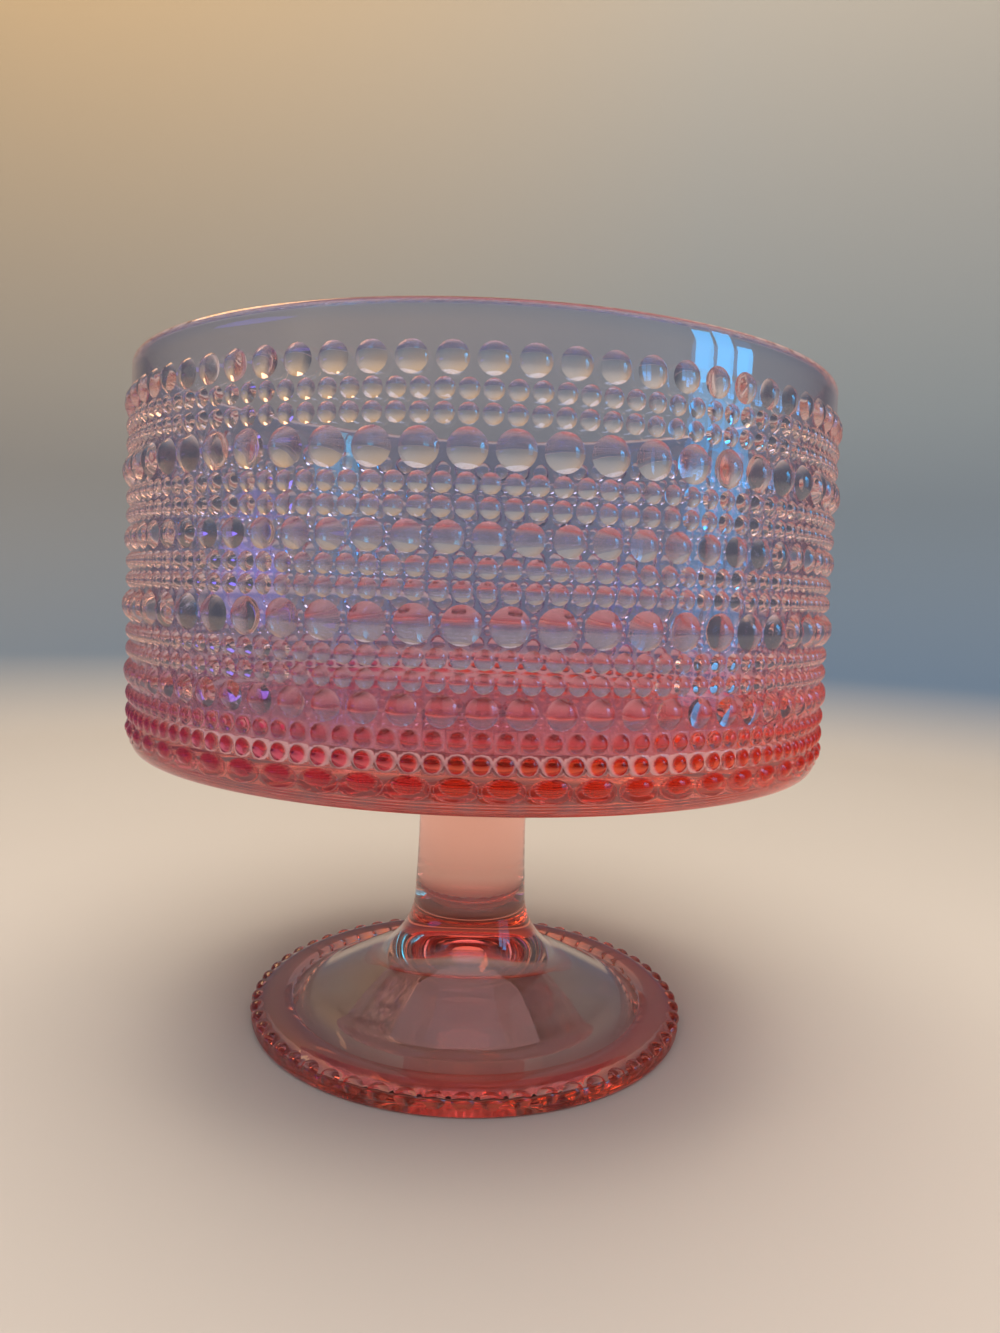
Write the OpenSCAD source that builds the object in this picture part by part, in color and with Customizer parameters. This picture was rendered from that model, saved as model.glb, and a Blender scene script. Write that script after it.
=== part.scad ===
// Footed trifle bowl in pressed glass: a straight drum with rows of dewdrops, standing on a
// pedestal with a solid stem and a hollow, flared foot. The two pressings are joined hot.
// Millimetres, +Z up, origin at the centre of the foot's underside.

/* [Bowl] */
// Diameter across the plain band under the rim
bowl_d = 210; // [190:1:230]
// Height of the bowl from its underside to its rim
bowl_h = 110; // [95:1:130]
// Thickness of the wall at the rim
wall = 4.2; // [3.6:0.2:6]
// Thickness of the bowl's floor
floor_t = 8; // [6:0.5:12]
// Angle by which the inside leans out, so that the plunger lifts from it
draft_a = 1.4; // [0.4:0.2:2]
// Radius between the wall and the floor, inside
inner_fillet = 9; // [4:1:16]
// Radius of the lower edge of the bowl, outside
heel_r = 4; // [2:0.5:4.5]

/* [Dewdrops] */
// Diameter of a large dewdrop
large_d = 8.9; // [7:0.1:9.2]
// Height of a large dewdrop above the wall
large_rise = 2.4; // [1:0.1:3]
// Spacing of the large dewdrops round the bowl
large_pitch = 10.3; // [9.8:0.1:12]
// Diameter of a medium dewdrop
medium_d = 7.2; // [5:0.1:7.6]
// Height of a medium dewdrop above the wall
medium_rise = 1.9; // [1:0.1:2.5]
// Spacing of the medium dewdrops round the bowl
medium_pitch = 8.7; // [8:0.1:10]
// Diameter of a small dewdrop
small_d = 4.7; // [3.5:0.1:4.8]
// Height of a small dewdrop above the wall
small_rise = 1.4; // [0.8:0.1:1.6]
// Gap between one row of dewdrops and the next
row_gap = 0.35; // [0.2:0.05:0.5]
// Distance from the rim down to the middle of the first row
first_row = 12.7; // [10:0.1:14]
// How far the flats that carry the dewdrops stand out from the wall
flat_rise = 0.15; // [0.1:0.05:0.4]

/* [Heel ovals] */
// Width of an oval in the row round the heel
oval_w = 7.4; // [5:0.1:8.4]
// Height of an oval in the row round the heel
oval_h = 4.2; // [3:0.1:4.6]
// How far an oval stands out from the wall
oval_rise = 1.5; // [0.8:0.1:2]

/* [Stem] */
// Diameter of the stem
stem_d = 36; // [30:1:44]
// Height of the pedestal, from the table to the bowl
pedestal_h = 88; // [80:1:100]

/* [Foot] */
// Diameter of the foot across its border
foot_d = 139; // [130:1:150]
// Height of the rounded border's crest
border_t = 6.4; // [6:0.2:8]
// Width of the rounded border
border_w = 13; // [11:0.5:16]
// Height of the groove where the flare meets the border
groove_z = 5; // [4.4:0.2:5.6]
// Radius of the sweep from the stem into the flare
sweep_r = 24; // [18:1:28]
// Slope of the flare below the sweep, in degrees from level
flare_a = 27; // [22:1:32]
// Thickness of the glass over the hollow
foot_wall = 4.6; // [4:0.2:6]
// Radius of the dome at the top of the hollow
dome_r = 30; // [20:1:40]
// Spacing of the dewdrops round the border
edge_pitch = 7.8; // [7:0.1:9]
// Width of a dewdrop on the border
edge_w = 5.6; // [4:0.1:6]
// Height of a dewdrop on the border
edge_h = 3.6; // [2.5:0.1:4]
// How far a dewdrop stands out from the border
edge_rise = 0.9; // [0.5:0.1:1.2]

/* [Hidden] */
round_fn = 96;

// Points on an arc
arc_steps = 8;

bowl_r = bowl_d / 2;
rim_r = wall / 2;
stem_r = stem_d / 2;
foot_r = foot_d / 2;

// How far a dewdrop reaches into the glass that carries it, on a flat and on the border
root = 0.05;
edge_root = 0.3;

// Groove left between one row's flats and the next
groove_w = 0.1;

// How far a cut overruns
overrun = 1;

// Facets round a dewdrop
drop_fn = 16;

// The rows from the rim down repeat one order: 0 is small, 1 is medium, 2 is large
order = [1, 0, 0, 2, 0, 0];
drop_ds = [small_d, medium_d, large_d];
drop_rises = [small_rise, medium_rise, large_rise];
function row_kind(i) = order[i % len(order)];

// How many dewdrops a row has. The small ones stay one round rib, so they have no count.
large_n = round(PI * bowl_d / large_pitch);
row_ns = [0, round(PI * bowl_d / medium_pitch), large_n];

// The angle at which a row's first dewdrop stands, near the front
large_turn = -92.1;
medium_turn = -89.35;
row_turns = [0, medium_turn, large_turn];

// The cones that make up a dewdrop
drop_steps = 2;

// The part of a dewdrop's width that is level at its top
drop_top_share = 0.3;
edge_top_share = 0.45;

// Distance from the rim to the middle of row i, each row lying one gap below the row above
function row_drop(i) =
    i == 0 ? first_row
    : row_drop(i - 1) + row_gap + (drop_ds[row_kind(i - 1)] + drop_ds[row_kind(i)]) / 2;

// Middle of the ovals under n rows, one gap below the last
function oval_mid(n) = bowl_h - row_drop(n - 1) - drop_ds[row_kind(n - 1)] / 2 - row_gap - oval_h / 2;

// As many rows as leave room for the ovals above the heel
function rows_from(n) = oval_mid(n + 1) - oval_h / 2 > heel_r ? rows_from(n + 1) : n;
rows = rows_from(1);
oval_z = oval_mid(rows);

// Radius of the circle whose segment has chord d and height h
function cap_r(d, h) = (d * d / 4 + h * h) / (2 * h);

// Points round an arc about c, from angle a to angle b
function arc(c, r, a, b, n = arc_steps) =
    [for (i = [0:n]) let (t = a + (b - a) * i / n) c + r * [cos(t), sin(t)]];

// A quarter of an ellipse about c with semi-axes s, from angle a to angle b
function oval_arc(c, s, a, b, n = arc_steps) =
    [for (i = [0:n]) let (t = a + (b - a) * i / n) c + [s[0] * cos(t), s[1] * sin(t)]];

// A dewdrop stands on the XY plane: cones follow a dome of diameter d and height h in n steps.
// The lowest reaches its root below the plane, and the top one ends in a small flat.
module drop(d, h, n) {
    r = cap_r(d, h);
    t = asin(d / 2 / r);
    angles = [for (i = [0:n]) t * (1 - i / n * (1 - drop_top_share))];
    radii = [for (a = angles) r * sin(a)];
    lifts = [for (a = angles) h * (cos(a) - cos(t)) / (cos(angles[n]) - cos(t))];
    for (i = [0:n - 1])
        let (under = i == 0 ? root : 0, spread = (radii[i] - radii[i + 1]) / (lifts[i + 1] - lifts[i]))
        translate([0, 0, lifts[i] - under])
            cylinder(r1 = radii[i] + under * spread, r2 = radii[i + 1],
                h = lifts[i + 1] - lifts[i] + under, $fn = drop_fn);
}

// A ring of n flats round the wall, w high, with its middle on the XY plane
flat_r = bowl_r + flat_rise;
module flats(n, w) {
    corner_r = flat_r / cos(180 / n);
    translate([0, 0, -w / 2])
        difference() {
            linear_extrude(w)
                polygon([for (i = [0:n - 1]) let (t = 360 / n * (i + 1 / 2)) corner_r * [cos(t), sin(t)]]);
            translate([0, 0, -overrun])
                cylinder(r = bowl_r - overrun, h = w + 2 * overrun, $fn = round_fn);
        }
}

// The inside of the bowl leans out from a fillet at its floor
fillet_z = floor_t + inner_fillet;
lean_z = fillet_z - inner_fillet * sin(draft_a);
lean_x = bowl_r - wall - (bowl_h - rim_r - lean_z) * tan(draft_a);
fillet_x = lean_x - inner_fillet * cos(draft_a);

// A row of small dewdrops in section: an arc that stands out from the wall, at height z
function rib(z) =
    let (r = cap_r(small_d, small_rise), t = asin(small_d / 2 / r))
    arc([bowl_r + small_rise - r, z], r, -t, t);

module drum() {
    outline = concat(
        [[0, 0]],
        arc([bowl_r - heel_r, heel_r], heel_r, -90, 0),
        [for (i = [rows - 1:-1:0]) if (row_kind(i) == 0) each rib(bowl_h - row_drop(i))],
        arc([bowl_r - rim_r, bowl_h - rim_r], rim_r, 0, 180),
        arc([fillet_x, fillet_z], inner_fillet, -draft_a, -90),
        [[0, floor_t]]
    );
    rotate_extrude($fn = round_fn) polygon(outline);
}

module row(i) {
    k = row_kind(i);
    translate([0, 0, bowl_h - row_drop(i)])
        rotate([0, 0, row_turns[k]]) {
            flats(row_ns[k], drop_ds[k] + row_gap - groove_w);
            for (j = [0:row_ns[k] - 1])
                rotate([0, 0, 360 / row_ns[k] * j])
                    translate([flat_r, 0, 0])
                        rotate([0, 90, 0])
                            drop(drop_ds[k], drop_rises[k] - flat_rise, drop_steps);
        }
}

module ovals() {
    translate([0, 0, oval_z])
        rotate([0, 0, large_turn]) {
            flats(large_n, oval_h + row_gap - groove_w);
            for (j = [0:large_n - 1])
                rotate([0, 0, 360 / large_n * j])
                    translate([flat_r, 0, 0])
                        rotate([0, 90, 0])
                            scale([1, oval_w / oval_h, 1])
                                drop(oval_h, oval_rise - flat_rise, 1);
        }
}

module bowl() {
    color([0.93, 0.72, 0.76, 0.6])
        translate([0, 0, pedestal_h])
            union() {
                drum();
                for (i = [0:rows - 1])
                    if (row_kind(i) > 0)
                        union() row(i);
                union() ovals();
            }
}

// The flare runs straight from the sweep down to the groove beside the border
groove_r = foot_r - border_w;
sweep_end = [stem_r + sweep_r * (1 - sin(flare_a)), groove_z
    + (groove_r - stem_r - sweep_r * (1 - sin(flare_a))) * tan(flare_a)];
sweep_z = sweep_end[1] + sweep_r * cos(flare_a);

// The border's crest lies half way across it, and its outer side comes down to a plain lip
crest_r = groove_r + border_w / 2;
lip_share = 0.2;
lip_z = border_t * lip_share;

// The hollow follows the flare, one wall below it, up to a dome on the axis
hollow_r = groove_r;
hollow_z = groove_z - foot_wall / cos(flare_a);
dome_x = dome_r * sin(flare_a);
dome_z = hollow_z + (hollow_r - dome_x) * tan(flare_a);

// A dewdrop's middle lies on the border's outer side, at this angle round its ellipse
edge_a = 27;
border_rx = foot_r - crest_r;
border_rz = border_t - lip_z;
edge_x = crest_r + border_rx * cos(edge_a);
edge_z = lip_z + border_rz * sin(edge_a);
edge_tilt = atan2(sin(edge_a) / border_rz, cos(edge_a) / border_rx);
edge_n = round(PI * foot_d / edge_pitch);

module foot() {
    outline = concat(
        [[0, pedestal_h], [stem_r, pedestal_h]],
        arc([stem_r + sweep_r, sweep_z], sweep_r, 180, 270 - flare_a),
        oval_arc([crest_r, groove_z], [crest_r - groove_r, border_t - groove_z], 180, 90),
        oval_arc([crest_r, lip_z], [border_rx, border_rz], 90, 0),
        [[foot_r, lip_z], [foot_r - lip_z, 0], [hollow_r, 0]],
        arc([0, dome_z - dome_r * cos(flare_a)], dome_r, 90 - flare_a, 90)
    );
    rotate_extrude($fn = round_fn) polygon(outline);
}

module pedestal() {
    color([0.93, 0.6, 0.66, 0.6])
        union() {
            foot();
            for (j = [0:edge_n - 1])
                rotate([0, 0, 360 / edge_n * j - 90])
                    translate([edge_x, 0, edge_z])
                        rotate([0, 90 - edge_tilt, 0])
                            scale([1, edge_w / edge_h, 1])
                                translate([0, 0, -edge_root])
                                    cylinder(d1 = edge_h, d2 = edge_h * edge_top_share,
                                        h = edge_root + edge_rise, $fn = drop_fn);
        }
}

bowl();
pedestal();
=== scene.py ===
# %% [markdown]
# # A footed trifle bowl in pressed, lustred glass
# The real bowl is two pressings of soda-lime glass that were joined while hot: a straight
# drum, covered in rows of dewdrops, and a pedestal with a solid stem and a hollow, flared
# foot. A thin lustre, fired on, gives the glass its pink and its oily glints.
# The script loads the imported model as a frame, models both pressings as closed bodies of
# glass, and then lights them. Everything is in metres.

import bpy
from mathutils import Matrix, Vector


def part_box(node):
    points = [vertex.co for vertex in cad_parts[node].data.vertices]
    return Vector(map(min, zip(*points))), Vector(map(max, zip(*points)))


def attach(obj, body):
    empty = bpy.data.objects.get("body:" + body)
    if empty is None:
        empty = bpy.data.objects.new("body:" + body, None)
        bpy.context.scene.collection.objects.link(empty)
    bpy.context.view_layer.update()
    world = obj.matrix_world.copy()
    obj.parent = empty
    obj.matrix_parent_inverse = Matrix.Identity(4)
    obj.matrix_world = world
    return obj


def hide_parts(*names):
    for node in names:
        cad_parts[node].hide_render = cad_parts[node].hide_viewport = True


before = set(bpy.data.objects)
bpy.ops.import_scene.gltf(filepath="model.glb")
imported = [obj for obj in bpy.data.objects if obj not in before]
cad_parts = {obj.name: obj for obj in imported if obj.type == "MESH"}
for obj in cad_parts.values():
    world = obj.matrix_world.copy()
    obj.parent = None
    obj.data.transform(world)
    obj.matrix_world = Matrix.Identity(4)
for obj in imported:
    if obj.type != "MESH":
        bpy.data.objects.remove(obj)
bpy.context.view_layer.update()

# %% [markdown]
# ## Measures
# Lengths are typed in millimetres, as a glassworks drawing has them, and one helper turns
# them to metres. The heights are read from the CAD nodes, so that both models agree. The
# drum's ground is the plain wall that the dewdrops stand on.

# %% Measures
import math
import bpy
import bmesh
from mathutils import Matrix, Vector


def mm(length):
    """Millimetres as metres."""
    return length / 1000


bowl_low, bowl_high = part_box("bowl")
foot_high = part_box("pedestal")[1]
bowl_z, rim_z = bowl_low.z, bowl_high.z
ground_r, foot_r = mm(105), mm(69.5)
print(f"drum radius {ground_r:.4f}, underside {bowl_z:.4f}, rim {rim_z:.4f}, foot {foot_r:.4f}")
print(f"room for the dewdrops: {bowl_high.x - ground_r:.4f} on the drum, "
      f"{foot_high.x - foot_r:.4f} on the foot")

# %% [markdown]
# ## One dewdrop in its cell
# A dewdrop is a low dome on the wall. It could be cut from a sphere and joined to the wall
# with a boolean, but with over a thousand of them that is slow and leaves poor faces. So
# each kind is made once, flat, as a dome inside a rectangle. A circle is created, its points
# are moved out to the rectangle, and its edge is extruded inwards ring by ring to the top.
#
# First comes the rectangle. Each of its sides has whole steps, so that a cell meets its
# neighbours point to point.

# %% The border of a cell
def border_point(i, across, up, width, height):
    """Point i of a rectangle's border, counted anticlockwise from its lower right corner."""
    sides = [
        (up, (width / 2, -height / 2), (0, height / up)),
        (across, (width / 2, height / 2), (-width / across, 0)),
        (up, (-width / 2, height / 2), (0, -height / up)),
        (across, (-width / 2, -height / 2), (width / across, 0)),
    ]
    for count, start, step in sides:
        if i < count:
            return Vector((start[0] + step[0] * i, start[1] + step[1] * i, 0))
        i -= count


# %% [markdown]
# ## The dome
# Its section is part of a circle through the base and the top, as a round cutter leaves it in
# the mould. The dome meets the wall in a crease, so the ring there is marked sharp and keeps
# its clear outline under smooth shading.

# %% The dome
def dome(half_wide, half_high, rise, shares, lift=0.0, shift=0.0, crisp=True):
    """Rings (half width, half height, shift, lift, crease) of a dome, and its top. The shares
    say how far out each ring lies, from 1 at the base."""
    curve_r = (half_wide ** 2 + rise ** 2) / (2 * rise)
    edge_a = math.asin(half_wide / curve_r)
    rings = []
    for share in shares:
        size = math.sin(edge_a * share) / math.sin(edge_a)
        up = curve_r * (math.cos(edge_a * share) - math.cos(edge_a))
        rings.append((half_wide * size, half_high * size, shift, lift + up, crisp and share == 1))
    return rings, (0, shift, lift + rise)


# %% [markdown]
# ## The cell
# The rectangle's edges are extruded once for each ring of the dome, and each new ring is
# moved to its place. Triangles from the last ring to the top close it. Kept as a bmesh, the
# cell can be copied for each row.

# %% The cell
def drop_cell(width, height, across, up, rings, top):
    """A flat cell with a dome. Its sides have the given steps across and up."""
    bm = bmesh.new()
    count = 2 * (across + up)
    ring = bmesh.ops.create_circle(bm, segments=count, radius=1)["verts"]
    ring.sort(key=lambda v: math.atan2(v.co.y, v.co.x) % (2 * math.pi))
    for i, v in enumerate(ring):
        v.co = border_point(i, across, up, width, height)
    edges = [bm.edges.get((ring[i], ring[(i + 1) % count])) for i in range(count)]
    start_turn = -math.pi / 6  # towards the lower right corner, where the border starts
    for half_wide, half_high, shift, lift, crease in rings:
        made = bmesh.ops.extrude_edge_only(bm, edges=edges)["geom"]
        verts = {g for g in made if isinstance(g, bmesh.types.BMVert)}
        edges = [g for g in made if isinstance(g, bmesh.types.BMEdge) and verts >= set(g.verts)]
        follow = {next(e.other_vert(v) for e in v.link_edges if e not in edges
                       and e.other_vert(v) in ring): v for v in verts}
        ring = [follow[v] for v in ring]  # the new points, in the order of the old ones
        for e in edges:
            e.smooth = not crease
        for i, v in enumerate(ring):
            turn = start_turn + 2 * math.pi * i / count
            v.co = Vector((half_wide * math.cos(turn), shift + half_high * math.sin(turn), lift))
    tip = bmesh.ops.create_vert(bm, co=top)["vert"][0]
    for e in edges:
        bm.faces.new((e.verts[0], e.verts[1], tip))
    return bm


# %% [markdown]
# ## A row of dewdrops
# The cell is bent to the drum's radius and then turned round the axis with spin, which
# leaves a copy at each step. Neighbours share their border points, so merging the doubles,
# which are points nearer to each other than the weld, closes the row into one ring.

# %% Wrapping and repeating a cell
weld = mm(0.02)


def round_drum(z, turn):
    """Where a point of a flat cell goes, when the cell is wrapped round the drum at height z."""
    def place(p):
        a, r = p.x / ground_r + turn, ground_r + p.z
        return Vector((r * math.cos(a), r * math.sin(a), z + p.y))
    return place


def join(body, other):
    """Adds another bmesh to the body."""
    mesh = bpy.data.meshes.new("part")
    other.to_mesh(mesh)
    other.free()
    body.from_mesh(mesh)
    bpy.data.meshes.remove(mesh)


def add_row(body, cell, count, place):
    """Wraps a copy of the cell, repeats it round the axis and adds it to the body."""
    row = cell.copy()
    for v in row.verts:
        v.co = place(v.co)
    bmesh.ops.spin(row, geom=row.verts[:] + row.edges[:] + row.faces[:], cent=(0, 0, 0),
                   axis=(0, 0, 1), dvec=(0, 0, 0), angle=2 * math.pi * (count - 1) / count,
                   steps=count - 1, use_duplicate=True)
    bmesh.ops.remove_doubles(row, verts=row.verts[:], dist=weld)
    join(body, row)


# %% [markdown]
# ## The kinds of dewdrop
# The rows are of three sizes. Two small dewdrops stand to each large one, and the medium ones
# have a count of their own. Each kind has its count in a row, the steps of its cell, its
# width, its rise above the wall, the places of its rings and the part of the gap between rows
# that its cell takes. A medium cell takes half of it, which leaves a strip of plain wall to
# stitch. The turns put one large and one medium dewdrop where the front of the real bowl has
# them. The soft kind is the small one without its crease: a round edge there puts a light
# ring round each dewdrop.

# %% The kinds of dewdrop
row_gap = mm(0.35)
front = -math.pi / 2
large_turn, medium_turn = front - math.radians(2.1), front + math.radians(0.65)

drops = {
    "small": dict(count=128, across=4, up=2, wide=mm(4.7), rise=mm(1.4),
                  shares=(1, 0.7, 0.36), gap=row_gap, turn=large_turn),
    "medium": dict(count=76, across=6, up=3, wide=mm(7.2), rise=mm(1.9),
                   shares=(1, 0.7, 0.36), gap=row_gap / 2, turn=medium_turn),
    "large": dict(count=64, across=8, up=4, wide=mm(8.9), rise=mm(2.4),
                  shares=(1, 0.68, 0.34), gap=row_gap, turn=large_turn),
}
drops["soft"] = drops["small"]

cells = {}
for kind, drop in drops.items():
    half = drop["wide"] / 2
    cells[kind] = drop_cell(2 * math.pi * ground_r / drop["count"], drop["wide"] + drop["gap"],
                            drop["across"], drop["up"],
                            *dome(half, half, drop["rise"], drop["shares"], crisp=kind != "soft"))
    print(kind, "cell faces", len(cells[kind].faces))

# %% [markdown]
# ## The fifteen rows
# The rows follow one order from the rim down, each one gap below the last, and the middle of
# the first lies 12.7 mm below the rim. The two lowest, where the lustre is heaviest, are of
# the soft kind.

# %% The rows
first_row = mm(12.7)
kinds = ["medium", "small", "small", "large", "small", "small", "medium", "small", "small",
         "large", "small", "small", "medium", "soft", "soft"]

glass = bmesh.new()
z = rim_z - first_row
for i, kind in enumerate(kinds):
    if i:
        z -= (drops[kinds[i - 1]]["wide"] + drops[kind]["wide"]) / 2 + row_gap
    add_row(glass, cells[kind], drops[kind]["count"], round_drum(z, drops[kind]["turn"]))
print(len(kinds), "rows from", round(rim_z - first_row, 4), "to", round(z, 4))

# %% [markdown]
# ## The ovals round the heel
# The lowest row is of ovals, one under each large dewdrop. Each lies on a petal, a low step
# whose lower edge is round, so that a scalloped line runs round the heel under the ovals.
# The petal's outline is one ring more, outside those of the dome.

# %% The ovals and their petals
oval_wide, oval_high, oval_rise = mm(7.4), mm(4.2), mm(1.5)
petal_wide, petal_high, petal_rise, petal_slope = mm(9.9), mm(5.7), mm(0.45), mm(0.3)
petal_gap = mm(0.15)
petal_cell = petal_high + petal_gap
oval_z = z - drops["soft"]["wide"] / 2 - row_gap - oval_high / 2
petal_top = oval_z + oval_high / 2 + row_gap / 2
petal_z = petal_top - petal_cell / 2

rings, tip = dome(oval_wide / 2, oval_high / 2, oval_rise - petal_rise, (1, 0.66, 0.33),
                  petal_rise, oval_z - petal_z)
petal = [(petal_wide / 2, petal_high / 2, 0, 0, True),
         (petal_wide / 2 - petal_slope, petal_high / 2 - petal_slope, 0, petal_rise, True)]
ovals = drops["large"]["count"]
cells["oval"] = drop_cell(2 * math.pi * ground_r / ovals, petal_cell, drops["large"]["across"],
                          drops["large"]["up"], petal + rings, tip)
add_row(glass, cells["oval"], ovals, round_drum(petal_z, large_turn))
bmesh.ops.remove_doubles(glass, verts=glass.verts[:], dist=weld)
print("glass with its rows", len(glass.faces), "faces")

# %% [markdown]
# ## Lines to spin
# The rest of the drum is round, so its section is drawn as a line of points and spun, as a
# lathe or a turned mould makes it. Three helpers draw arcs and straight stretches, one spins
# the line, and one gives it as many points round as a row of dewdrops has, starting at the
# edge of a cell, so that the two meet point to point.

# %% Lines to spin
def oval_arc(cx, cz, rx, rz, start, end, steps):
    """Points (x, z) round part of an ellipse, with its angles in degrees."""
    angles = [math.radians(start + (end - start) * i / steps) for i in range(steps + 1)]
    return [(cx + rx * math.cos(a), cz + rz * math.sin(a)) for a in angles]


def arc(cx, cz, r, start, end, steps):
    """Points (x, z) round an arc, with its angles in degrees."""
    return oval_arc(cx, cz, r, r, start, end, steps)


def along(start, end, shares):
    """Points on the straight line from start to end."""
    return [(start[0] + (end[0] - start[0]) * s, start[1] + (end[1] - start[1]) * s)
            for s in shares]


def spin_line(points, steps, turn=0.0):
    """Spins a line of (x, z) points into a closed surface of revolution, as its own bmesh."""
    pole_weld = mm(0.001)
    bm = bmesh.new()
    verts = [bm.verts.new((x * math.cos(turn), x * math.sin(turn), z)) for x, z in points]
    edges = [bm.edges.new(pair) for pair in zip(verts, verts[1:])]
    bmesh.ops.spin(bm, geom=verts + edges, cent=(0, 0, 0), axis=(0, 0, 1), dvec=(0, 0, 0),
                   angle=2 * math.pi, steps=steps, use_merge=True)
    bmesh.ops.remove_doubles(bm, verts=bm.verts[:], dist=pole_weld)
    return bm


def to_meet(kind):
    """Steps and first angle of a spun line that meets a row of this kind."""
    drop = drops[kind]
    return drop["count"] * drop["across"], drop["turn"] - math.pi / drop["count"]


# %% [markdown]
# ## The rim and the inside
# The rim is fully rounded, as a fire-polished rim is. The inside leans outwards by the draft
# that lets the plunger lift, and runs through a fillet into the floor. It has no dewdrops to
# meet, so fewer steps make it round enough.

# %% The rim and the inside
wall, floor_t, rim_part, hair = mm(4.2), mm(8), mm(5), mm(0.1)
rim_r = wall / 2
band_z = rim_z - rim_part
first_top = rim_z - first_row + (drops["medium"]["wide"] + drops["medium"]["gap"]) / 2
rim_line = [(ground_r, first_top), (ground_r, band_z)]
rim_line += arc(ground_r - rim_r, rim_z - rim_r, rim_r, 0, 180, 7)
join(glass, spin_line(rim_line, *to_meet("medium")))

plain_steps = 128
draft, inner_fillet = math.radians(1.4), mm(9)
floor_z = bowl_z + floor_t
fillet_z = floor_z + inner_fillet
lean_z = fillet_z - inner_fillet * math.sin(draft)
lean_x = ground_r - wall - (rim_z - rim_r - lean_z) * math.tan(draft)
fillet_x = lean_x - inner_fillet * math.cos(draft)
inside_line = [(ground_r - wall - hair, band_z)]
inside_line += along((ground_r - wall, band_z), (lean_x, lean_z), (0.25, 0.5, 0.75))
inside_line += arc(fillet_x, fillet_z, inner_fillet, -math.degrees(draft), -90, 7)
inside_line += along((fillet_x, floor_z), (0, floor_z), (0.25, 0.5, 0.75, 1))
join(glass, spin_line(inside_line, plain_steps))
print(f"inside radius {ground_r - wall:.4f} at the rim, {lean_x:.4f} above the fillet")

# %% [markdown]
# ## The heel and the underside
# The heel is a small round edge under the ovals. The petals reach past the first point of its
# arc, so that point is left out. The underside is flat, with the stem fused to its middle, and
# a few rings across it keep its faces even.

# %% The heel and the underside
heel_r = mm(4)
underside_rings = (mm(99), mm(60), mm(18), 0)
heel_top = petal_z - petal_cell / 2
heel_line = [(ground_r, heel_top)]
heel_line += arc(ground_r - heel_r, bowl_z + heel_r, heel_r, 0, -90, 6)[1:]
join(glass, spin_line(heel_line, *to_meet("large")))
join(glass, spin_line([(x, bowl_z) for x in underside_rings], plain_steps))
bmesh.ops.remove_doubles(glass, verts=glass.verts[:], dist=weld)
print("heel from", round(heel_top - bowl_z, 5), "above the underside")

# %% [markdown]
# ## Stitching the rings
# The medium dewdrops number 76 in a row and the others 64 or 128, so their rings don't meet
# point to point. A thin strip of plain wall was left there, and bridging joins its two edges.
# The same closes the inside under the rim and the underside at the heel.

# %% The seams
def open_loops(bm):
    """The open edges, gathered into loops by shared points."""
    left = {e: e for e in bm.edges if e.is_boundary}
    loops = []
    while left:
        loop, grow = [], [left.pop(next(iter(left)))]
        while grow:
            e = grow.pop()
            loop.append(e)
            for v in e.verts:
                grow += [left.pop(n) for n in v.link_edges if n in left]
        loops.append(loop)
    return loops


def loop_place(loop):
    """Height and radius of a loop. Each loop is level and round, so any point tells them."""
    v = loop[0].verts[0].co
    return v.z, math.hypot(v.x, v.y)


loops = sorted(open_loops(glass), key=lambda loop: -loop_place(loop)[0])
outer = [loop for loop in loops if loop_place(loop)[1] > ground_r - mm(1)]
inner = [loop for loop in loops if loop not in outer]
print("outer loops", [(round(loop_place(loop)[0], 5), len(loop)) for loop in outer])
print("inner loops", [(round(loop_place(loop)[0], 5), len(loop)) for loop in inner])
for upper, lower in list(zip(outer[::2], outer[1::2])) + list(zip(inner[::2], inner[1::2])):
    bmesh.ops.bridge_loops(glass, edges=upper + lower)
print("open edges left", sum(e.is_boundary for e in glass.edges))


# %% [markdown]
# ## From bmesh to piece
# A finished piece has its faces turned outwards, smooth shading and its place in its mesh.
# It rides on the object's one body and stands for its CAD node.

# %% Finishing a piece
def make_object(bm, name):
    """Makes an object from a bmesh, with its faces turned outwards."""
    bmesh.ops.recalc_face_normals(bm, faces=bm.faces[:])
    for f in bm.faces:
        f.smooth = True
    mesh = bpy.data.meshes.new(name)
    bm.to_mesh(mesh)
    bm.free()
    made = bpy.data.objects.new(name, mesh)
    bpy.context.scene.collection.objects.link(made)
    return made


def finish_piece(bm, name, *nodes):
    """Makes a piece from a bmesh. It rides on the one body and stands for its CAD nodes."""
    piece = make_object(bm, name)
    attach(piece, "root")
    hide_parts(*nodes)
    print(name, "triangles", sum(len(p.vertices) - 2 for p in piece.data.polygons))
    return piece


bowl = finish_piece(glass, "bowl_glass", "bowl")

# %% [markdown]
# ## The pedestal
# The pedestal is spun from one section: down the stem, through the sweep, along the flare,
# into the groove, over the rounded border and back under the hollow. The border's outer side
# carries 56 oval dewdrops, so there the section is left open, and a row of cells, wrapped on
# the border instead of on the drum, closes it.

# %% The pedestal's measures
stem_r, sweep_r, dome_r, foot_wall = mm(18), mm(24), mm(30), mm(4.6)
groove_r, groove_z = foot_r - mm(13), mm(5)
flare = math.radians(27)
sweep_x = stem_r + sweep_r * (1 - math.sin(flare))
sweep_low = groove_z + (groove_r - sweep_x) * math.tan(flare)
sweep_z = sweep_low + sweep_r * math.cos(flare)
hollow_z = groove_z - foot_wall / math.cos(flare)
dome_x = dome_r * math.sin(flare)
dome_z = hollow_z + (groove_r - dome_x) * math.tan(flare)
print(f"sweep from {sweep_z:.4f} down to {sweep_low:.4f}, hollow up to "
      f"{dome_z + dome_r * (1 - math.cos(flare)):.4f}")

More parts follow.
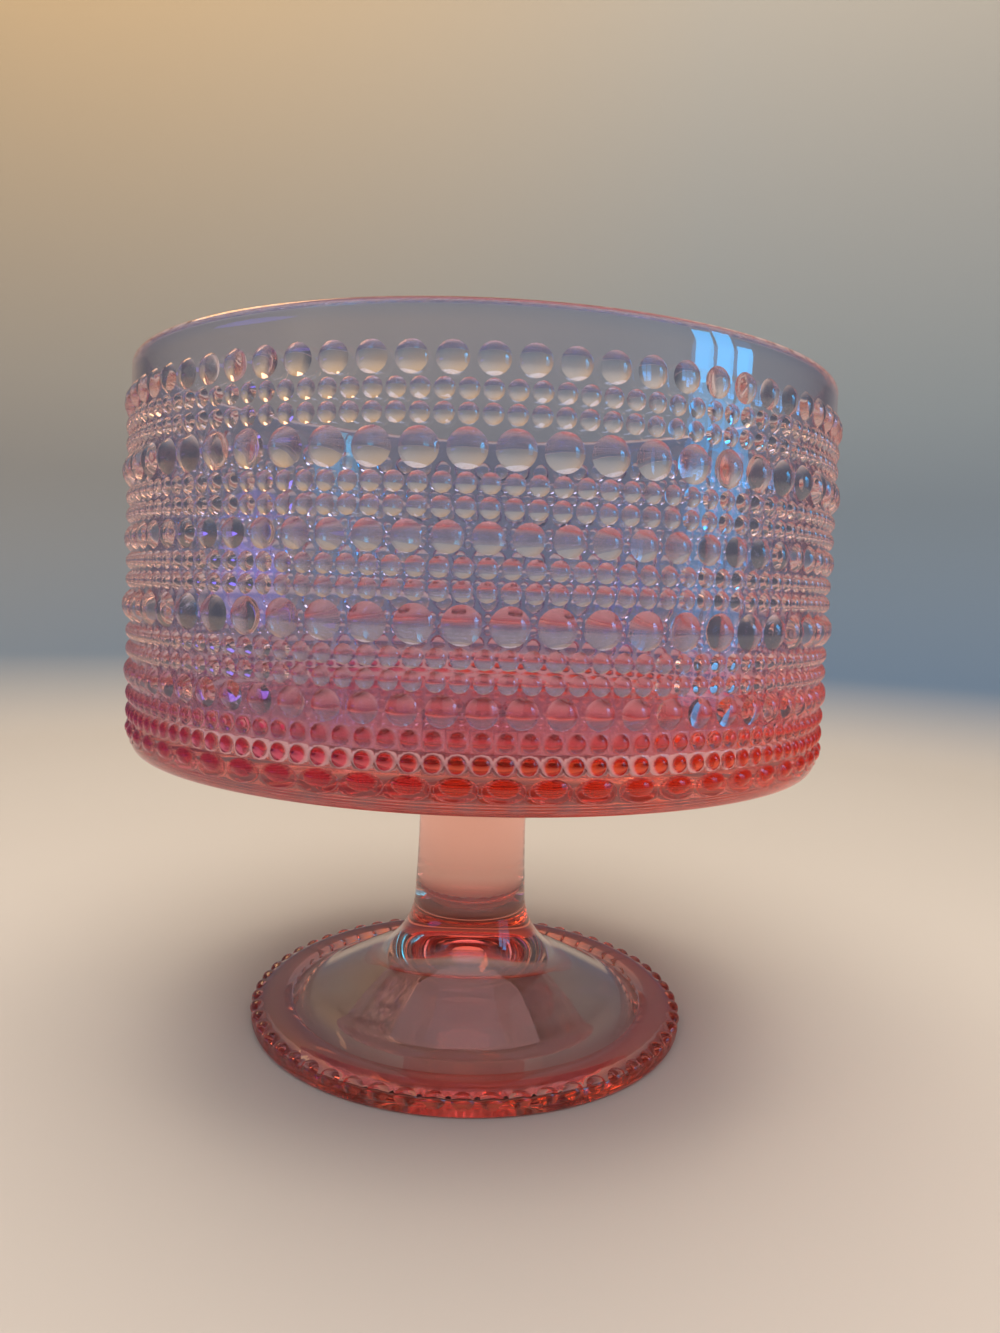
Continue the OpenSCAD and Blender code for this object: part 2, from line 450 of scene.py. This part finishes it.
# %% [markdown]
# ## The border of the foot
# In section the border is half an oval, flat on its inner side and full on its outer one. The
# dewdrops take the part of the outer side between two angles, in degrees up from level, and
# each lies square to the oval.

# %% Wrapping a cell on the border
border_t = mm(6.4)
crest_r, lip_z = (groove_r + foot_r) / 2, border_t / 5
border_rx, border_rz = foot_r - crest_r, border_t - lip_z
bead_low, bead_top = 3, 68


def round_border(turn, height):
    """Where a point of a flat cell goes, when the cell is wrapped on the border's outer side."""
    low, high = math.radians(bead_low), math.radians(bead_top)

    def place(p):
        a, t = p.x / foot_r + turn, (low + high) / 2 + (high - low) * p.y / height
        out = Vector((border_rz * math.cos(t), border_rx * math.sin(t))).normalized() * p.z
        r, z = crest_r + border_rx * math.cos(t) + out.x, lip_z + border_rz * math.sin(t) + out.y
        return Vector((r * math.cos(a), r * math.sin(a), z))
    return place


# %% [markdown]
# ## The pedestal's section
# The stem has a slight waist, where the hot glass drew in as it cooled, so it is drawn by a
# few points down its length, each a radius and a height in millimetres. Its top reaches a
# hair into the drum, as the two are fused. The first line ends where the row of dewdrops
# starts, and the second goes on below them.

# %% The pedestal's section
fused = mm(0.2)
waist = [(18, 84), (17.7, 83.2), (17.5, 79), (17.4, 73), (17.35, 66), (17.4, 58), (17.6, 50),
         (17.85, 44)]
upper = [(0, bowl_z + fused), (stem_r, bowl_z + fused)] + [(mm(x), mm(z)) for x, z in waist]
upper += arc(stem_r + sweep_r, sweep_z, sweep_r, 180, 270 - math.degrees(flare), 10)
upper += along((sweep_x, sweep_low), (groove_r, groove_z), (0.33, 0.66))
upper += oval_arc(crest_r, groove_z, crest_r - groove_r, border_t - groove_z, 180, 90, 6)
upper += oval_arc(crest_r, lip_z, border_rx, border_rz, 90, bead_top, 5)[1:]

lip_round = (foot_r - mm(0.3), mm(0.4))
lower = oval_arc(crest_r, lip_z, border_rx, border_rz, bead_low, 0, 1)
lower += [lip_round, (foot_r - lip_z, 0), (groove_r, 0)]
lower += arc(0, dome_z - dome_r * math.cos(flare), dome_r, 90 - math.degrees(flare), 90, 8)
print(len(upper), "points above the dewdrops,", len(lower), "below")

# %% [markdown]
# ## The foot with its dewdrops
# The two lines are spun with eight steps to a dewdrop, starting at the edge of a cell, and
# the row of cells closes the gap between them. The border's own dewdrops are called beads
# here, to tell them from the drum's.

# %% The foot with its dewdrops
beads, bead_across, bead_up = 56, 8, 4
bead_wide, bead_high, bead_rise, bead_cell = mm(6.4), mm(5), mm(1.3), mm(6.6)
foot_weld = mm(0.03)
cells["bead"] = drop_cell(2 * math.pi * foot_r / beads, bead_cell, bead_across, bead_up,
                          *dome(bead_wide / 2, bead_high / 2, bead_rise, (1, 0.66, 0.33)))
foot = spin_line(upper, bead_across * beads, front - math.pi / beads)
join(foot, spin_line(lower, bead_across * beads, front - math.pi / beads))
add_row(foot, cells["bead"], beads, round_border(front, bead_cell))
bmesh.ops.remove_doubles(foot, verts=foot.verts[:], dist=foot_weld)
print("open edges left on the foot", sum(e.is_boundary for e in foot.edges))
pedestal = finish_piece(foot, "pedestal_glass", "pedestal")

# %% [markdown]
# ## Colours and nodes
# Colours are picked as sRGB hex values, as on a screen, and one helper turns them to the
# linear values that the shader works in. A new material starts with no nodes at all, so that
# every node in it is one that was put there. The last two helpers add a node with its
# settings and links, and set the stops of a colour ramp.

# %% Colours and nodes
def linear(hex_colour):
    """An sRGB hex colour as linear RGBA."""
    parts = [int(hex_colour[i:i + 2], 16) / 255 for i in (1, 3, 5)]
    return [p / 12.92 if p <= 0.04045 else ((p + 0.055) / 1.055) ** 2.4 for p in parts] + [1]


def new_material(name):
    """An empty material and its node tree."""
    mat = bpy.data.materials.new(name)
    mat.use_nodes = True
    mat.node_tree.nodes.clear()
    return mat, mat.node_tree


def add_node(tree, kind, inputs=None, **settings):
    """Adds a node. An input is a value to set or an output to link."""
    node = tree.nodes.new(kind)
    for key, value in settings.items():
        setattr(node, key, value)
    for key, value in (inputs or {}).items():
        if isinstance(value, bpy.types.NodeSocket):
            tree.links.new(value, node.inputs[key])
        else:
            node.inputs[key].default_value = value
    return node


def set_stops(ramp, stops):
    """Gives a new colour ramp its (share, colour) stops, which run from 0 to 1."""
    elements = ramp.color_ramp.elements
    elements[0].color, elements[1].color = stops[0][1], stops[-1][1]
    for share, colour in stops[1:-1]:
        elements.new(share).color = colour


# %% [markdown]
# ## The glass
# Pressed soda-lime glass is clear, with an index of 1.52, and its skin is slightly softened
# by the mould, so it isn't quite as sharp as blown glass. The lustre is a metal oxide, fired
# on. Low on the bowl and on the border it is heavy and has sunk into the glass as a stain,
# plum on the left and orange red on the right. Higher up it is a film of under two hundred
# nanometres, whose thickness wanders and gives violet and blue glints. Where the eye meets the
# surface at a shallow angle, it looks through more of the lustre, so the outlines are redder.
#
# A mix of plain glass and tinted glass could be painted piece by piece. Here one material
# works out the lustre's weight from height, from how far out a point lies, as the spray
# reached the outside alone, and from the slope against the eye, and tints the glass by it.
# Two functions give the weight at a height and the share of it that the spray left there.

# %% Where the lustre lies
def weight_by_height(tree, axes, low, high, weights):
    """The lustre's weight, as (share of the height from low to high, weight) pairs."""
    level = add_node(tree, "ShaderNodeMapRange", {
        "Value": axes.outputs["Z"], "From Min": low, "From Max": high})
    ramp = add_node(tree, "ShaderNodeValToRGB", {"Fac": level.outputs["Result"]})
    set_stops(ramp, [(share, (weight, weight, weight, 1)) for share, weight in weights])
    return ramp.outputs["Color"]


def spray_share(tree, axes, outside, above, bare):
    """1 outside the given radii and above the given height, and the bare share elsewhere."""
    fade = mm(2)
    level_xy = add_node(tree, "ShaderNodeCombineXYZ", {
        "X": axes.outputs["X"], "Y": axes.outputs["Y"]})
    radius = add_node(tree, "ShaderNodeVectorMath", {0: level_xy.outputs["Vector"]},
                      operation="LENGTH")
    outer = add_node(tree, "ShaderNodeMapRange", {
        "Value": radius.outputs["Value"], "From Min": outside[0], "From Max": outside[1]})
    upper = add_node(tree, "ShaderNodeMapRange", {
        "Value": axes.outputs["Z"], "From Min": above, "From Max": above + fade})
    sprayed = add_node(tree, "ShaderNodeMath", {
        0: outer.outputs["Result"], 1: upper.outputs["Result"]}, operation="MAXIMUM")
    return add_node(tree, "ShaderNodeMapRange", {
        "Value": sprayed.outputs["Value"], "To Min": bare}).outputs["Result"]


# %% [markdown]
# ## The film of lustre
# Light that is thrown back by the film's two faces meets itself and takes on a colour that
# depends on the thickness, as on a soap bubble. On the left the real film looks lilac, and on
# the right nearly plain. A noise on the object's own coordinates makes the thickness wander,
# in patches a few centimetres wide, so the colour isn't the same all over.

# %% The film of lustre
def film_thickness(tree, where, axes, weight):
    """Thickness in nanometres: thicker on the left, wandering in patches, and next to none
    where the lustre is heavy and has sunk in."""
    patch_wide, left_film, right_film, wander, sunk = mm(55.6), 160.0, 50.0, 30.0, 0.1
    left_end, right_end = -mm(100), -mm(30)
    drift = add_node(tree, "ShaderNodeTexNoise", {
        "Vector": where, "Scale": 1 / patch_wide, "Detail": 2.0})
    by_side = add_node(tree, "ShaderNodeMapRange", {
        "Value": axes.outputs["X"], "From Min": left_end, "From Max": right_end,
        "To Min": left_film, "To Max": right_film})
    patchy = add_node(tree, "ShaderNodeMath", {
        0: drift.outputs["Fac"], 1: wander, 2: by_side.outputs["Result"]},
        operation="MULTIPLY_ADD")
    thin = add_node(tree, "ShaderNodeMapRange", {"Value": weight, "To Min": 1.0, "To Max": sunk})
    film = add_node(tree, "ShaderNodeMath", {
        0: patchy.outputs["Value"], 1: thin.outputs["Result"]}, operation="MULTIPLY")
    return film.outputs["Value"]


# %% [markdown]
# ## The lustred glass
# The weight and the share give the lustre, and the outlines get more of it: a power of the
# facing value keeps that close to them. The colour then goes from the clear glass to the
# lustre's own. The pressed skin has a roughness of 0.02, so its reflections are a touch soft,
# and the film has an index of 1.75. A weak absorption inside the glass warms its thick
# parts, such as the stem and the edges.

# %% The lustred glass
def lustred_glass(name, clear, left, right, body_tint, density, heights, weights, outside,
                  above, bare, edge_weight):
    """Pressed glass with a lustre: plain where its weight is 0, and left to right where 1."""
    mat, tree = new_material(name)
    where = add_node(tree, "ShaderNodeTexCoord").outputs["Object"]
    axes = add_node(tree, "ShaderNodeSeparateXYZ", {"Vector": where})
    weight = weight_by_height(tree, axes, *heights, weights)
    share = spray_share(tree, axes, outside, above, bare)
    lustre = add_node(tree, "ShaderNodeMath", {0: weight, 1: share}, operation="MULTIPLY")

    facing_blend, outline_power = 0.3, 3.0
    facing = add_node(tree, "ShaderNodeLayerWeight", {"Blend": facing_blend})
    shallow = add_node(tree, "ShaderNodeMath", {
        0: facing.outputs["Facing"], 1: outline_power}, operation="POWER")
    edge = add_node(tree, "ShaderNodeMath", {0: shallow.outputs["Value"], 1: edge_weight},
                    operation="MULTIPLY")
    heavy = add_node(tree, "ShaderNodeMath", {
        0: edge.outputs["Value"], 1: lustre.outputs["Value"]}, operation="ADD", use_clamp=True)

    left_end, right_end = -mm(95), -mm(5)
    side = add_node(tree, "ShaderNodeMapRange", {
        "Value": axes.outputs["X"], "From Min": left_end, "From Max": right_end})
    tint = add_node(tree, "ShaderNodeMix", {
        "Factor": side.outputs["Result"], "A": linear(left), "B": linear(right)},
        data_type="RGBA")
    colour = add_node(tree, "ShaderNodeMix", {
        "Factor": heavy.outputs["Value"], "A": linear(clear), "B": tint.outputs["Result"]},
        data_type="RGBA")

    skin = add_node(tree, "ShaderNodeBsdfPrincipled", {
        "Base Color": colour.outputs["Result"], "Roughness": 0.02, "IOR": 1.52,
        "Transmission Weight": 1.0, "Thin Film IOR": 1.75,
        "Thin Film Thickness": film_thickness(tree, where, axes, weight)})
    body = add_node(tree, "ShaderNodeVolumeAbsorption",
                    {"Color": linear(body_tint), "Density": density})
    add_node(tree, "ShaderNodeOutputMaterial", {
        "Surface": skin.outputs["BSDF"], "Volume": body.outputs["Volume"]})
    print(name, "has", len(tree.nodes), "nodes")
    return mat


# %% [markdown]
# ## The two glasses
# The drum's glass goes from red at the heel to a cool, clear band under the rim. The spray caught
# the dewdrops most, so each stands out from the wall between them, and the inside got less than
# half. On the pedestal the lustre is heavy on the border and in the sweep, thin on the flare and
# light on the stem, so the foot has a red line round it and the stem looks amber. The stem's
# amber is partly the lustre and partly a painted reflection: it stands in for a brown table that
# shows through the stem.

# %% The two glasses
bowl.data.materials.append(lustred_glass(
    "pressed_glass_pink_lustre", clear="#eceeff", left="#96307c", right="#ff2606",
    body_tint="#ffdccc", density=12, heights=(bowl_z, rim_z),
    weights=[(0, 1), (0.12, 1), (0.18, 0.75), (0.25, 0.4), (0.35, 0.16), (0.5, 0.04), (1, 0)],
    outside=(ground_r, ground_r + mm(0.8)), above=rim_z, bare=0.4, edge_weight=1.6))
# The stem's light lustre is partly a painted reflection: its amber stands in for a brown table
# seen through the stem.
pedestal.data.materials.append(lustred_glass(
    "pressed_glass_rose_lustre", clear="#fffaf6", left="#b03478", right="#ff5230",
    body_tint="#f0bc94", density=16, heights=(0, bowl_z),
    weights=[(0, 0.75), (0.065, 0.75), (0.085, 0.2), (0.28, 0.2), (0.31, 0.85), (0.4, 0.85),
             (0.46, 0.35), (0.92, 0.35), (1, 0)],
    outside=(groove_r, groove_r + mm(2)), above=mm(24), bare=0.3, edge_weight=1.2))

# %% [markdown]
# ## The studio
# The object stands on a plain pale floor that sweeps up into a wall all round, so no edge
# shows behind the glass. It could be a plane and a backdrop, but the glass shows what is
# round it, from every side, so a spun bay closes the room. The floor lies a hair under the
# foot, so that the two faces don't fight.

# %% Floor and wall
floor_drop = mm(0.2)
bay_r, bend_r, wall_top, flat_r, bay_steps = 0.85, 0.25, 2.8, 0.3, 96
bay_line = [(0, -floor_drop), (flat_r, -floor_drop)]
bay_line += arc(bay_r - bend_r, bend_r - floor_drop, bend_r, -90, 0, 12) + [(bay_r, wall_top)]
studio_sweep = make_object(spin_line(bay_line, bay_steps), "studio_sweep")
print("studio faces", len(studio_sweep.data.polygons))

# %% [markdown]
# ## The paper
# Studio paper is matt, so it scatters light evenly and shows no shine. The wall isn't one
# tone: over the pale floor it is slate blue low down and warm grey higher up, warmer on the
# left. It is darker beside and behind the camera, as black cards beside a glass object are,
# which draws the outline of each dewdrop.

# %% The paper
floor_shade, dark_shade = "#c8beb2", "#525a66"
left_wall, right_wall = ("#7c8690", "#a29c92", "#d0ac74"), ("#6a7e94", "#909aa0", "#b8ae9e")
low_share, middle_share, wall_high = 0.06, 0.35, 1.0
cool_x, behind_y, beside_x = (-0.5, 0.25), (-0.25, -0.7), (0.55, 0.75)

paper, tree = new_material("studio_paper")
spot = add_node(tree, "ShaderNodeTexCoord").outputs["Object"]
axes = add_node(tree, "ShaderNodeSeparateXYZ", {"Vector": spot})
height = add_node(tree, "ShaderNodeMapRange", {
    "Value": axes.outputs["Z"], "From Min": 0.0, "From Max": wall_high})
shades = []
for low, middle, high in (left_wall, right_wall):
    shade = add_node(tree, "ShaderNodeValToRGB", {"Fac": height.outputs["Result"]})
    set_stops(shade, [(0, linear(floor_shade)), (low_share, linear(low)),
                      (middle_share, linear(middle)), (1, linear(high))])
    shades.append(shade.outputs["Color"])
cool = add_node(tree, "ShaderNodeMapRange", {
    "Value": axes.outputs["X"], "From Min": cool_x[0], "From Max": cool_x[1]})
wall_shade = add_node(tree, "ShaderNodeMix", {
    "Factor": cool.outputs["Result"], "A": shades[0], "B": shades[1]}, data_type="RGBA")
behind = add_node(tree, "ShaderNodeMapRange", {
    "Value": axes.outputs["Y"], "From Min": behind_y[0], "From Max": behind_y[1]})
aside = add_node(tree, "ShaderNodeMath", {0: axes.outputs["X"]}, operation="ABSOLUTE")
beside = add_node(tree, "ShaderNodeMapRange", {
    "Value": aside.outputs["Value"], "From Min": beside_x[0], "From Max": beside_x[1]})
dark = add_node(tree, "ShaderNodeMath", {
    0: behind.outputs["Result"], 1: beside.outputs["Result"]}, operation="MAXIMUM")
paper_shade = add_node(tree, "ShaderNodeMix", {
    "Factor": dark.outputs["Value"], "A": wall_shade.outputs["Result"],
    "B": linear(dark_shade)}, data_type="RGBA")
matt = add_node(tree, "ShaderNodeBsdfPrincipled", {
    "Base Color": paper_shade.outputs["Result"], "Roughness": 0.9})
add_node(tree, "ShaderNodeOutputMaterial", {"Surface": matt.outputs["BSDF"]})
studio_sweep.data.materials.append(paper)
print(paper.name, "has", len(tree.nodes), "nodes")

# %% [markdown]
# ## Lamps
# All lamps are soft panels that face the bowl. A panel has three switches, because glass and
# paper need different light: it may light the paper, show as a reflection in the glass, and
# shine through the glass.

# %% A soft panel
aim = Vector((0, 0, 0.12))


def soft_panel(name, place, size, power, colour, on_paper=False, in_glass=True, through=True,
               shape="RECTANGLE"):
    """An area light that faces the bowl. It may light the paper, show as a reflection in the
    glass, and shine through the glass."""
    lamp = bpy.data.lights.new(name, "AREA")
    lamp.shape = shape
    lamp.size, lamp.size_y = size
    lamp.energy = power
    lamp.color = linear(colour)[:3]
    panel = bpy.data.objects.new(name, lamp)
    panel.location = place
    panel.rotation_euler = (aim - Vector(place)).to_track_quat("-Z", "Y").to_euler()
    panel.visible_camera = False
    panel.visible_diffuse = on_paper
    panel.visible_glossy = in_glass
    panel.visible_transmission = through
    bpy.context.scene.collection.objects.link(panel)
    print(name, "gives", round(power, 3), "watts")
    return panel


# %% [markdown]
# ## The window
# A window in three panes stands to the right and is mirrored in the drum as three blue
# stripes. Each pane is brightest at its top, where the sky is, so it is made of three panels,
# given by their lower and upper ends and their watts for each square metre.

# %% The window
sky_blue = "#32b4f4"
pane_wide, first_x, first_y, step_x, step_y = 0.08, 0.715, -0.18, -0.035, -0.088
pane_tops = (0.40, 0.52, 0.48)
for i, top in enumerate(pane_tops):
    for low, high, glow in ((0.33, top, 18), (0.2, 0.33, 7), (0.0, 0.2, 3.5)):
        soft_panel(f"window_panel_{i}_{low}",
                   (first_x + step_x * i, first_y + step_y * i, (low + high) / 2),
                   (pane_wide, high - low), glow * pane_wide * (high - low), sky_blue)

# %% [markdown]
# ## The panels
# A round lilac panel gives the left its sheen, and a warm one behind catches the rim. The wide
# panels overhead and in front light floor and wall. They would put a white tip on each
# dewdrop, so they don't show in reflections, and most of the light from above doesn't pass
# the glass, or it would come out on the floor as a red halo. A weak, bluish air fills the
# shadows. The view is the plain one, so that the colours come out as they are picked.

# %% The panels and the air
soft_panel("left_panel", place=(-0.74, -0.28, 0.09), size=(0.5, 0.18), power=0.3,
           colour="#8a78ff", shape="ELLIPSE")
soft_panel("warm_panel", place=(-0.55, 0.45, 0.9), size=(0.5, 0.4), power=2, colour="#ffc890")
soft_panel("front_panel", place=(0, -0.74, 0.6), size=(1.1, 0.6), power=5, colour="#eef2ff",
           on_paper=True, in_glass=False, shape="ELLIPSE")
soft_panel("top_panel", place=(0, 0, 1.3), size=(1.15, 1.15), power=17, colour="#fff6ec",
           on_paper=True, in_glass=False, through=False)
soft_panel("top_glow", place=(0, 0, 1.29), size=(1.15, 1.15), power=4.5, colour="#fff0dc",
           on_paper=True, in_glass=False)

world = bpy.data.worlds.new("studio_air")
world.use_nodes = True
air = world.node_tree.nodes["Background"].inputs
air["Color"].default_value = linear("#b4c4dc")
air["Strength"].default_value = 0.25
bpy.context.scene.world = world
bpy.context.scene.view_settings.view_transform = "Standard"

# %% [markdown]
# ## The camera
# The photograph was taken from close by with a wide lens. The distance, height and turn come
# from fitting circles at the rim, at the rows and at the foot to their ellipses in the photo.
# The heading turns it to the right, the tilt is below level, and the roll leans the picture.

# %% The camera
heading, tilt, roll = 0.02346, -0.08019, 0.03759
back_off, eye_height, focal, sensor = 0.30257, 0.13733, 33.66, 36

ahead = Vector((math.sin(heading) * math.cos(tilt), math.cos(heading) * math.cos(tilt),
                math.sin(tilt)))
level = Vector((math.cos(heading), -math.sin(heading), 0))
over = level.cross(ahead)
right = level * math.cos(roll) + over * math.sin(roll)
upward = over * math.cos(roll) - level * math.sin(roll)
lens = bpy.data.cameras.new("camera")
lens.sensor_fit = "HORIZONTAL"
lens.sensor_width, lens.lens, lens.clip_start = sensor, focal, mm(10)
camera = bpy.data.objects.new("camera", lens)
turned = Matrix((right, upward, -ahead)).transposed().to_4x4()
camera.matrix_world = Matrix.Translation((0, -back_off, eye_height)) @ turned
bpy.context.scene.collection.objects.link(camera)
bpy.context.scene.camera = camera
print("camera at", tuple(round(c, 4) for c in camera.matrix_world.translation))

# %% [markdown]
# ## Bounces of light
# A ray that is caught inside the dewdrops turns back many times before it leaves them, so the
# count of bounces is raised: with too few, their edges go black.

# %% Bounces
bounces = 32
for limit in ("max_bounces", "transmission_bounces", "glossy_bounces"):
    setattr(bpy.context.scene.cycles, limit, bounces)
print("a ray turns back up to", bounces, "times")

# %% [markdown]
# ## Finish
# The view layer is updated, so that every object stands where it was put. The visual model
# has to stay inside the CAD model's box.

bpy.context.view_layer.update()
